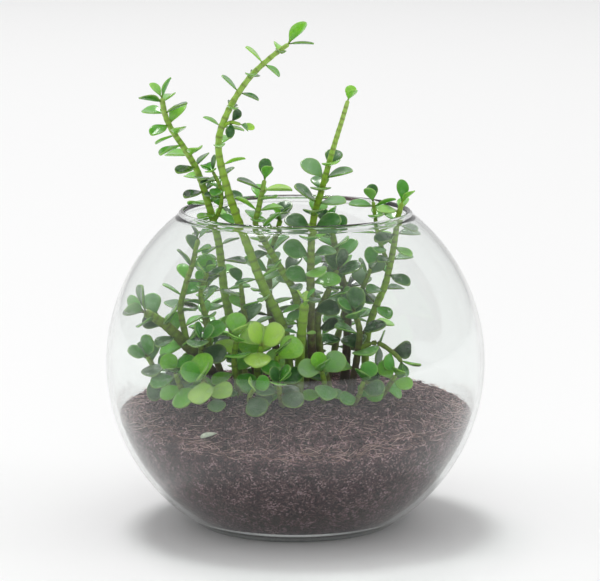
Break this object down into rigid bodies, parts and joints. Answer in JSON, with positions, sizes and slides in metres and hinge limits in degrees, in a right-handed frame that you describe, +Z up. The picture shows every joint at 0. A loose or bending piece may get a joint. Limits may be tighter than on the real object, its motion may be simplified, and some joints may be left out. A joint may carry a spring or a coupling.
{
  "type": "glass plant terrarium",
  "caption": "Open round glass bowl with a flat foot, filled with dark potting soil and planted with young dwarf jade shoots that rise through its mouth.",
  "frame": {"origin": "centre of the bowl's underside, on the surface it rests on", "axes": "+Z up along the bowl's axis, -Y towards the front of the planting, +X to its right"},
  "size_m": [0.2496, 0.2496, 0.3316],
  "materials": {
    "clear_glass": "clear blown glass, fire-polished lip",
    "potting_soil": "matte, fibrous and crumbly",
    "jade_leaf": "waxy satin, lighter at the margin",
    "young_bark": "satin, ringed at the nodes",
    "pale_leaf": "dull, drying"
  },
  "bodies": {
    "root": {"centre_cluster_shoot": "jade_leaf", "cut_front_stem": "young_bark", "fallen_leaf": "pale_leaf", "far_right_shoot": "jade_leaf", "front_rosette": "jade_leaf", "glass_bowl": "clear_glass", "inner_left_shoot": "jade_leaf", "left_edge_shoot": "jade_leaf", "lime_rosette": "jade_leaf", "low_bright_shoot": "jade_leaf", "low_centre_shoot": "jade_leaf", "low_front_shoot": "jade_leaf", "low_left_shoot": "jade_leaf", "low_rear_left_shoot": "jade_leaf", "low_rear_right_shoot": "jade_leaf", "low_right_front_shoot": "jade_leaf", "low_right_shoot": "jade_leaf", "middle_shoot": "jade_leaf", "olive_middle_shoot": "jade_leaf", "potting_soil": "potting_soil", "rear_left_shoot": "jade_leaf", "rear_middle_shoot": "jade_leaf", "rear_right_shoot": "jade_leaf", "right_cluster_shoot": "jade_leaf", "right_edge_shoot": "jade_leaf", "right_middle_shoot": "jade_leaf", "right_rear_shoot": "jade_leaf", "tall_left_shoot": "jade_leaf", "tallest_shoot": "jade_leaf", "woody_left_shoot": "jade_leaf"}
  },
  "joints": []
}
